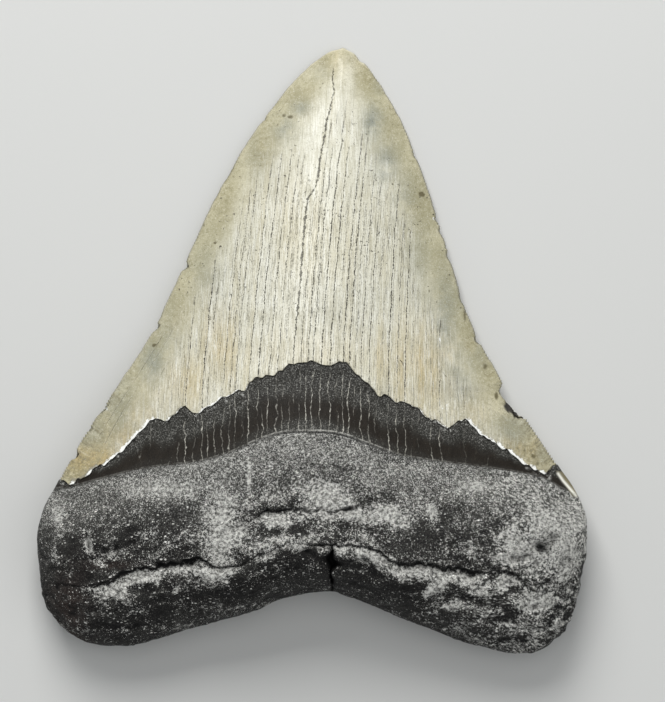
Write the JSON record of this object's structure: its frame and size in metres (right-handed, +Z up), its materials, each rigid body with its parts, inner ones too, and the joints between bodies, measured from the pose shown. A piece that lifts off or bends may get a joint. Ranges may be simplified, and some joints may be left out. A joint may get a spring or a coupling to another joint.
{
  "type": "fossil megalodon tooth",
  "caption": "Large fossil shark tooth with a pale cracked enamel blade, a dark collar and a black lobed root; a loose display specimen that lies on its flat labial face.",
  "frame": {"origin": "on the surface the tooth lies on, under the middle of its bounding box", "axes": "+Y along the tooth from the root to the tip, +X across it to the right of someone who looks down on the lingual face with the tip up, +Z up from the flat labial face"},
  "size_m": [0.1254, 0.1386, 0.0307],
  "materials": {
    "fossil": "satin"
  },
  "bodies": {
    "root": {"tooth": "fossil"}
  },
  "joints": []
}
